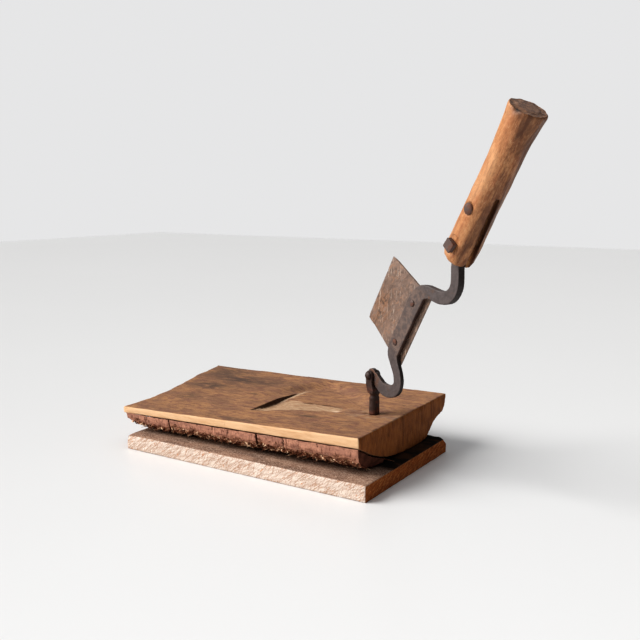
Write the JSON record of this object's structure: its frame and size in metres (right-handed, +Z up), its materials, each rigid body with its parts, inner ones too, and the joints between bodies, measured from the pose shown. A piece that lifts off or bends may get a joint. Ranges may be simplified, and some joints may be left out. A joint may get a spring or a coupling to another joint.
{
  "type": "guillotine cutter",
  "caption": "Hand-forged lever knife on a swivelling post, over a half-log chopping slab nailed to a plank, for slicing leaf, herbs or paper.",
  "frame": {"origin": "middle of the plank's underside", "axes": "+X along the plank to the end that carries the post, +Y to the back, +Z up"},
  "size_m": [0.5744, 0.2507, 0.4126],
  "materials": {
    "plank_wood": "rough-sawn softwood plank, pale edge with saw marks, grey-brown weathered top",
    "slab_wood": "half-log slab, worn brown top, pale sapwood edge, dark end grain",
    "bark": "dry reddish-brown bark, cracked and flaking",
    "forged_iron": "forged wrought iron, dark grey with a little rust",
    "blade_steel": "thin steel plate with a mottled brown patina and pale scratches",
    "rusty_iron": "rusted iron, brown to black",
    "handle_wood": "whittled handle, golden brown and polished by use, dark streaks"
  },
  "bodies": {
    "base": {"base_board": "plank_wood", "chopping_slab": "slab_wood", "bark_left": "bark", "bark_middle": "bark", "bark_right": "bark", "slab_nail_1": "rusty_iron", "slab_nail_2": "rusty_iron", "slab_nail_3": "rusty_iron", "slab_nail_4": "rusty_iron"},
    "post": {"pivot_post": "rusty_iron", "post_washer": "rusty_iron", "pivot_rivet": "rusty_iron"},
    "lever": {"lever_arm": "forged_iron", "blade": "blade_steel", "blade_rivet_lower": "rusty_iron", "blade_rivet_upper": "rusty_iron", "handle": "handle_wood", "handle_bolt": "rusty_iron", "bolt_rove": "rusty_iron", "handle_rivet": "rusty_iron"}
  },
  "joints": [
    {"name": "post_swivel", "type": "hinge", "parent": "base", "child": "post", "pos_m": [0.1229, 0.0093, 0.065], "axis": [0, 0, 1], "range_deg": [-6, 44]},
    {"name": "lever_pivot", "type": "hinge", "parent": "post", "child": "lever", "pos_m": [0.1202, 0.01061, 0.111], "axis": [-0.4384, -0.8988, 0], "range_deg": [0, 124.5]}
  ]
}
